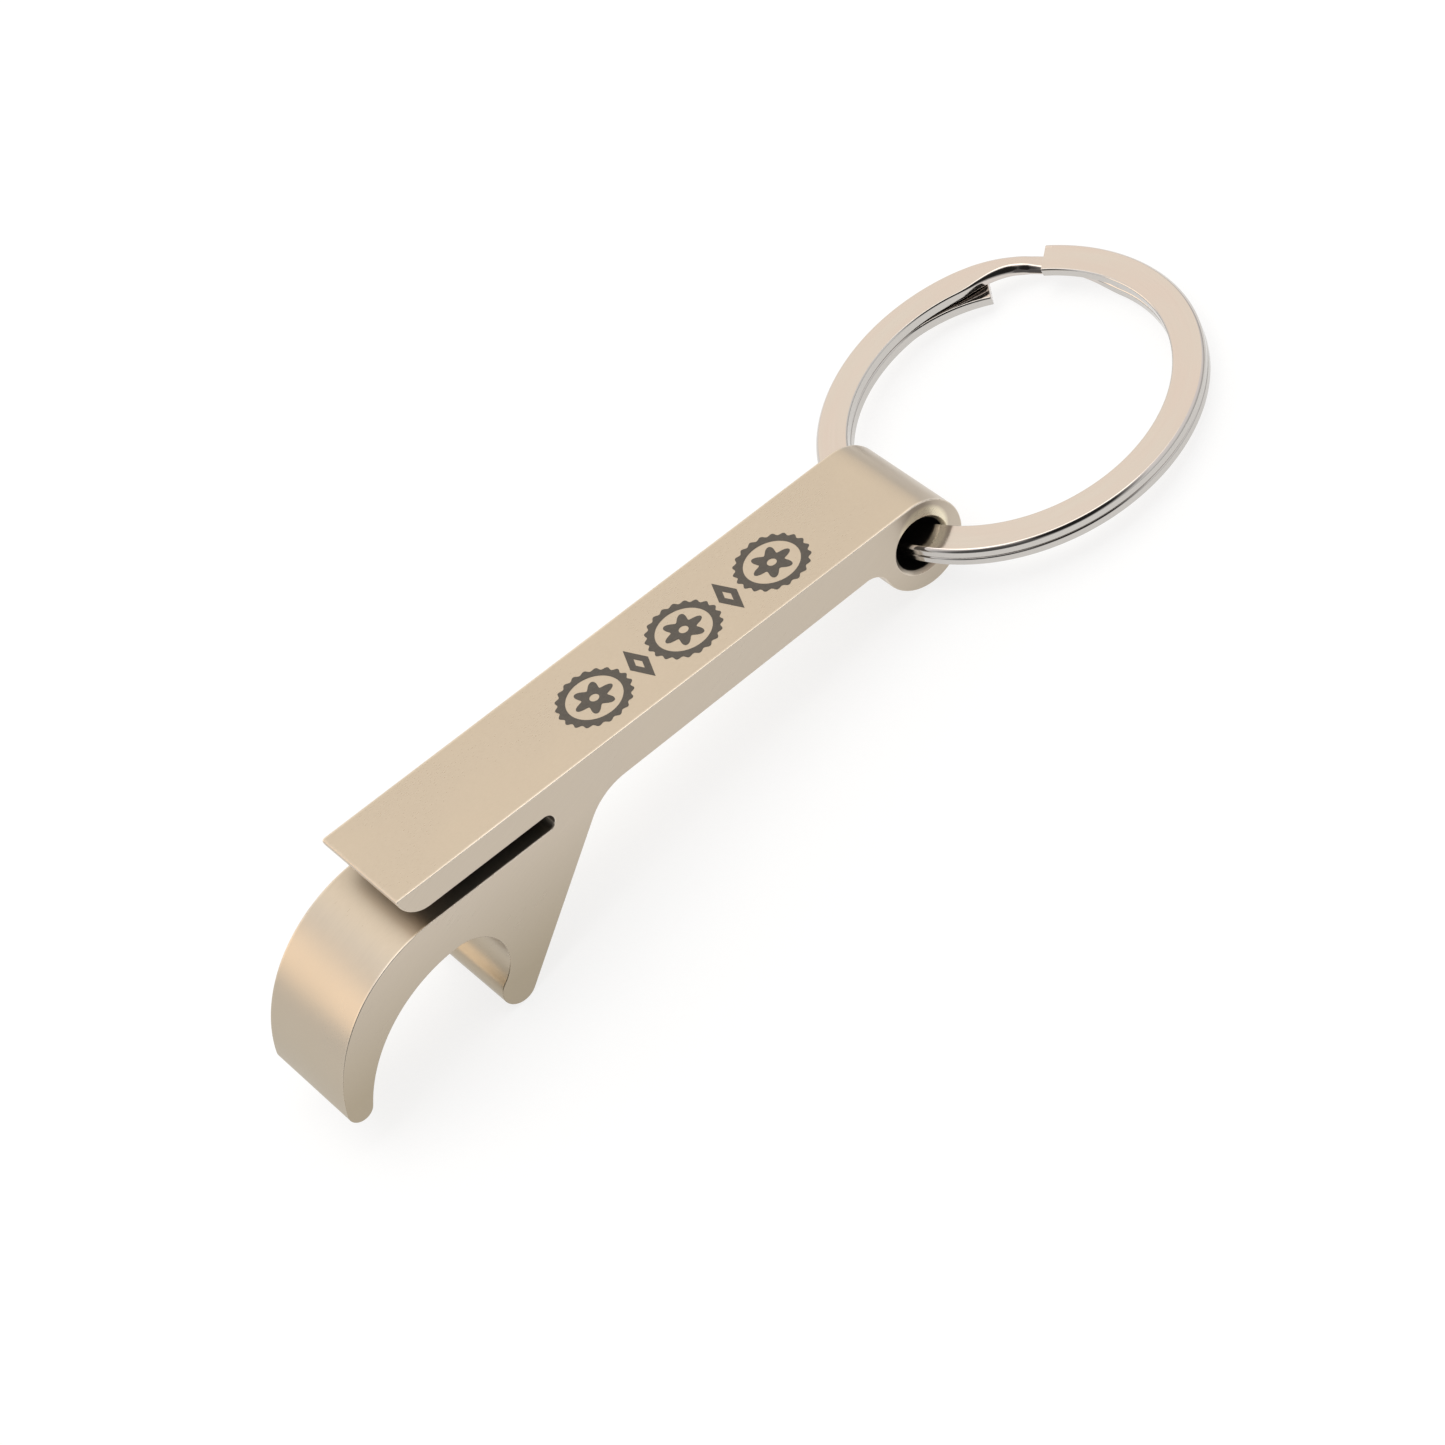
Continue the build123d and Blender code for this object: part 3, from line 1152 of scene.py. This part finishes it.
    def shell(self) -> Shell:
        """Wire section carried along the wound path, with softened cut ends.

        point(s, k) = ring centre + (mean(s) + x(s, k)) * outward(s) + (h(s, k) +
        level(s)) * axis, where mean keeps the outer edge on the ring's outer radius, but
        for its flared end, and x and h are first turned by the sprung end's twist.
        Facing is the cross product of the directions round the section and along the
        path.

        Returns:
            The closed surface, with the marks "edge" and "strip".
        """
        path, inset = self.path()
        inset = inset[:, None]
        angle = np.radians(self.upper_cut - path)
        dip = math.radians(self.dip)
        far = np.array([math.cos(dip), 0.0, -math.sin(dip)])
        axis = np.array([math.sin(dip), 0.0, math.cos(dip)])
        outward = np.cos(angle)[:, None] * far + np.sin(angle)[:, None] * ACROSS
        section = self.section()
        half_width, half_height, corner = self.sizes(path[:, None], section)
        across = section[:, 0] * (half_width - corner) + (corner - inset) * section[:, 2]
        rise = section[:, 1] * (half_height - corner) + (corner - inset) * section[:, 3]
        mean = self.outer_radius - half_width - self.flare_in * self.flare(path)[:, None]
        twist = np.radians(self.spring_twist * self.spring(path))[:, None]
        turned = across * np.cos(twist) - rise * np.sin(twist)
        height = rise * np.cos(twist) + across * np.sin(twist) + self.level(path)[:, None]
        ring_centre = BORE_AXIS + self.reach * far
        points = (
            ring_centre + (mean + turned)[..., None] * outward[:, None] + height[..., None] * axis
        )
        along = np.gradient(points, axis=0)
        around = np.roll(points, -1, axis=1) - np.roll(points, 1, axis=1)
        facing = np.cross(around, along)
        facing /= np.linalg.norm(facing, axis=-1, keepdims=True)

        rows, columns = across.shape
        middle = self.outer_radius - self.strip_width / 2
        distance = np.broadcast_to((np.radians(path) * middle)[:, None], across.shape)
        strip = np.stack([distance, across, rise], axis=-1)
        corners = np.minimum(np.abs(section[:, 2] * section[:, 3]) * self.wear_gain, 1)
        edge = np.maximum(corners[None], inset / self.end_softness)
        shell = Shell(
            points.reshape(-1, 3),
            facing.reshape(-1, 3),
            lattice(rows, columns, False, True).tolist(),
            {"edge": edge.ravel(), "strip": strip.reshape(-1, 3)},
        )
        first = list(range(columns))
        last = [(rows - 1) * columns + k for k in range(columns)]
        shell.faces += [first[::-1], last]
        return shell

    def make(self) -> bpy.types.Object:
        """Builds the ring and puts it in place of its CAD node.

        Returns:
            The ring.
        """
        piece = self.shell().piece(
            "polished_split_ring", Rider.RING, Finish.POLISHED, PolishedNickel().build()
        )
        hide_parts("split_ring")
        return piece


# ------------------------------------------------------------------ handle marking
@dataclass
class HandleMarking:
    """Plain ornament burnt into the handle's top: cap rosettes and lozenges in a row.

    Sizes are mm.  The radii inside a rosette and a lozenge, and the depths of flutes and
    petals, are shares of the shape's own radius.
    """

    middle_u: float = -18.6
    middle_y: float = -0.55
    pitch: float = 8.6
    rosette_radius: float = 2.95
    flutes: int = 21
    flute_depth: float = 0.04
    rim_inner: float = 0.76
    petals: int = 6
    petal_depth: float = 0.26
    petal_radius: float = 0.46
    petal_hole: float = 0.13
    rosette_steps: int = 336
    lozenge_length: float = 0.86
    lozenge_width: float = 2.1
    lozenge_hole: float = 0.34
    lozenge_steps: int = 64
    proud: float = 0.012
    sunk: float = 0.03
    top: float = 3.8

    def band(self, middle: tuple, outer: np.ndarray, inner: np.ndarray) -> Shell:
        """Flat closed band between two curves round a middle, a hair proud of the top.

        Both curves are rows of u and y from the middle at the same angles; the band's
        section is a thin rectangle from inner to outer and from sunk to proud.

        Args:
            middle: u and y of the middle.
            outer: outer curve.
            inner: inner curve.

        Returns:
            The closed band.
        """
        low, high = self.top - self.sunk, self.top + self.proud
        curves = np.stack([inner, inner, outer, outer], axis=1) + np.array(middle)
        heights = np.array([low, high, high, low])
        flat = np.stack([curves[..., 0], np.broadcast_to(heights, curves.shape[:2])], axis=-1)
        points = to_frame(flat, curves[..., 1])
        facing = np.sign(heights - self.top)[None, :, None] * ABOVE
        facing = np.broadcast_to(facing, points.shape).reshape(-1, 3)
        faces = lattice(len(outer), 4, True, True).tolist()
        return Shell(points.reshape(-1, 3), facing, faces, {})

    def rosette(self, middle: tuple) -> Shell:
        """Fluted rim like a crown cap seen from above, with petals inside.

        A wavy curve has radius r * (1 + depth * cos(n a)), for n flutes or petals.

        Args:
            middle: u and y of the middle.

        Returns:
            The two closed bands.
        """
        angle = np.linspace(0, 2 * np.pi, self.rosette_steps, endpoint=False)
        ray = self.rosette_radius * np.column_stack([np.cos(angle), np.sin(angle)])
        rim = (1 + self.flute_depth * np.cos(self.flutes * angle))[:, None] * ray
        petals = (1 + self.petal_depth * np.cos(self.petals * angle))[:, None] * ray
        inside = self.band(middle, self.petal_radius * petals, self.petal_hole * ray)
        return self.band(middle, rim, self.rim_inner * ray).join(inside)

    def lozenge(self, middle: tuple) -> Shell:
        """Lozenge frame: radius 1 / (|cos a| / length + |sin a| / width).

        Args:
            middle: u and y of the middle.

        Returns:
            The closed band.
        """
        angle = np.linspace(0, 2 * np.pi, self.lozenge_steps, endpoint=False)
        ray = np.column_stack([np.cos(angle), np.sin(angle)])
        shares = np.abs(ray) / (self.lozenge_length, self.lozenge_width)
        curve = ray / shares.sum(axis=1, keepdims=True)
        return self.band(middle, curve, self.lozenge_hole * curve)

    def make(self) -> bpy.types.Object:
        """Builds the row: three rosettes with two lozenges between them.

        Returns:
            The marking.
        """
        row = [
            shape((self.middle_u + step * self.pitch, self.middle_y))
            for shape, steps in ((self.rosette, (0, -1, 1)), (self.lozenge, (-0.5, 0.5)))
            for step in steps
        ]
        marking = reduce(Shell.join, row)
        return marking.piece("handle_marking", Rider.OPENER, Finish.SATIN, MarkingInk().build())


# ------------------------------------------------------------------ studio
@dataclass
class Softbox:
    """Even rectangular light that faces the object.

    Attributes:
        name: what it is called.
        direction: where it stands, seen from the object.
        distance: metres from the object.
        size: width and height, metres.
        brightness: how bright its face looks, for each colour.
    """

    name: str
    direction: tuple
    distance: float
    size: tuple
    brightness: tuple

    def make(self) -> bpy.types.Object:
        """Hangs the light.  Its power is brightness * pi * area.

        Returns:
            The light.
        """
        peak = max(self.brightness)
        light = bpy.data.lights.new(self.name, "AREA")
        light.shape = "RECTANGLE"
        light.size, light.size_y = self.size
        light.energy = peak * math.pi * self.size[0] * self.size[1]
        light.color = [c / peak for c in self.brightness]
        lamp = into_scene(self.name, light)
        away = Vector(self.direction).normalized()
        facing = away.to_track_quat("Z", "Y").to_matrix().to_4x4()
        lamp.matrix_world = Matrix.Translation(away * self.distance) @ facing
        lamp.visible_camera = False
        log.info("%s hung", self.name)
        return lamp


@dataclass
class Studio:
    """Pale paper, soft lights and the camera.

    Lengths are metres and angles degrees.  Each darker part of the surround has a way that
    it lies in, and where it starts and is full: two angles from the way, or two cosines.
    """

    floor_size: float = 4.0
    floor_drop: float = 0.00002
    surround: tuple = (0.93, 0.93, 0.94, 1.0)
    dim: tuple = (0.02, 0.02, 0.02, 1.0)
    camera_dim: tuple = (37.0, 18.0)
    left_way: tuple = (-0.760, -0.405, 0.507)
    left_dim: tuple = (34.0, 19.0)
    left_share: float = 0.9
    up_cosines: tuple = (0.08, 0.40)
    right_way: tuple = (0.7, -0.7, 0.0)
    right_cosines: tuple = (-0.35, 0.2)
    right_share: float = 0.42
    focus: tuple = (-0.00471, -0.00514, 0.006)
    heading: float = 11.887
    elevation: float = 46.273
    roll: float = 36.946
    distance: float = 0.3819
    lens: float = 128.78
    sensor: float = 36.0
    clip: tuple = (0.01, 20.0)
    boxes: list = field(
        default_factory=lambda: [
            Softbox("overhead_softbox", (0.05, 0.15, 1.0), 0.9, (1.0, 0.8), (1.22, 1.18, 1.10)),
            Softbox("rear_softbox", (0.36, 0.68, 0.64), 0.8, (0.9, 0.8), (0.20, 0.12, 0.0)),
            Softbox("hook_softbox", (-0.58, 0.69, 0.425), 0.7, (0.46, 0.25), (0.96, 0.67, 0.38)),
        ]
    )

    def paper(self) -> bpy.types.Object:
        """Lays the floor just under the object.

        Returns:
            The floor.
        """
        half = self.floor_size / 2
        corners = np.array([[-1, -1], [1, -1], [1, 1], [-1, 1]]) * half
        points = np.column_stack([corners, np.full(4, -self.floor_drop)])
        mesh = bpy.data.meshes.new("studio_floor")
        mesh.from_pydata(points.tolist(), [], [[0, 1, 2, 3]])
        mesh.materials.append(StudioPaper().build())
        floor = into_scene("studio_floor", mesh)
        floor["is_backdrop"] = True
        return floor

    @staticmethod
    def cosines(angles: tuple) -> tuple[float, ...]:
        """Cosines of angles given in degrees."""
        return tuple(math.cos(math.radians(angle)) for angle in angles)

    @staticmethod
    def towards(nodes: Nodes, way: tuple, limits: tuple) -> bpy.types.NodeSocket:
        """Rises from 0 to 1 as the direction that is lit from turns towards a way.

        Args:
            nodes: the surround's nodes.
            way: the direction turned to.
            limits: cosines of the angles from it where the share is 0 and 1.

        Returns:
            The share's socket.
        """
        sockets = {0: nodes.add("ShaderNodeTexCoord").outputs["Generated"], 1: way}
        cosine = nodes.add("ShaderNodeVectorMath", sockets, operation="DOT_PRODUCT")
        return nodes.span(cosine.outputs["Value"], limits)

    def surroundings(self) -> None:
        """Sets a pale surround with the darker parts that a real studio has.

        It is dark round the camera and in one place on the left, and dimmer low down on
        the right.  What the lens sees of it directly stays pale.
        """
        world = bpy.data.worlds.new("studio_surround")
        world.use_nodes = True
        nodes = Nodes(world.node_tree)
        camera = self.towards(nodes, tuple(-self.forward()), self.cosines(self.camera_dim))
        left = self.towards(nodes, self.left_way, self.cosines(self.left_dim))
        high = self.towards(nodes, (0.0, 0.0, 1.0), self.up_cosines)
        right = self.towards(nodes, self.right_way, self.right_cosines)
        right = nodes.math("MULTIPLY", nodes.math("SUBTRACT", 1.0, high), right)
        share = nodes.math("MAXIMUM", camera, nodes.math("MULTIPLY", left, self.left_share))
        share = nodes.math("MAXIMUM", share, nodes.math("MULTIPLY", right, self.right_share))
        seen = nodes.add("ShaderNodeLightPath").outputs["Is Camera Ray"]
        share = nodes.math("MULTIPLY", share, nodes.math("SUBTRACT", 1.0, seen))
        background = world.node_tree.nodes["Background"]
        nodes.feed(background.inputs["Color"], nodes.blend(share, self.surround, self.dim))
        scene = bpy.context.scene
        scene.world = world
        scene.view_settings.view_transform = "Standard"
        scene.view_settings.look = "None"

    def forward(self) -> Vector:
        """Direction the camera looks in, (cos e sin h, cos e cos h, -sin e).

        Returns:
            The direction, of length 1.
        """
        heading, rise = math.radians(self.heading), math.radians(self.elevation)
        level = math.cos(rise)
        return Vector((level * math.sin(heading), level * math.cos(heading), -math.sin(rise)))

    def camera(self) -> bpy.types.Object:
        """Stands the camera at its heading, height and roll.

        Right and up are square to the forward direction and turned by the roll about it.

        Returns:
            The camera.
        """
        forward, roll = self.forward(), math.radians(self.roll)
        level = forward.cross(Vector((0, 0, 1))).normalized()
        plumb = level.cross(forward)
        up = math.cos(roll) * plumb + math.sin(roll) * level
        right = math.cos(roll) * level - math.sin(roll) * plumb
        stand = Vector(self.focus) - self.distance * forward
        lens = bpy.data.cameras.new("studio_camera")
        lens.lens = self.lens
        lens.sensor_width = self.sensor
        lens.clip_start, lens.clip_end = self.clip
        camera = into_scene("studio_camera", lens)
        turned = Matrix((right, up, -forward)).transposed().to_4x4()
        camera.matrix_world = Matrix.Translation(stand) @ turned
        bpy.context.scene.camera = camera
        return camera

    def make(self) -> None:
        """Sets up floor, surround, lights and camera."""
        self.paper()
        self.surroundings()
        for box in self.boxes:
            box.make()
        self.camera()
        log.info("studio set")


def write_size() -> None:
    """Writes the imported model's box and the finished one, to compare them."""
    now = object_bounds()
    boxes = {"cad": [list(c) for c in CAD_BOX], "visual": [list(c) for c in now]}
    for name, (low, high) in boxes.items():
        log.info("%s box %s", name, [round((b - a) * 1000, 2) for a, b in zip(low, high)])


def main() -> None:
    """Builds the opener, its ring and its marking, and sets the studio round them."""
    logging.basicConfig(level=logging.INFO, format="%(name)s: %(message)s")
    OpenerBody().make()
    SplitRing().make()
    HandleMarking().make()
    Studio().make()
    write_size()


if __name__ == "__main__":
    main()
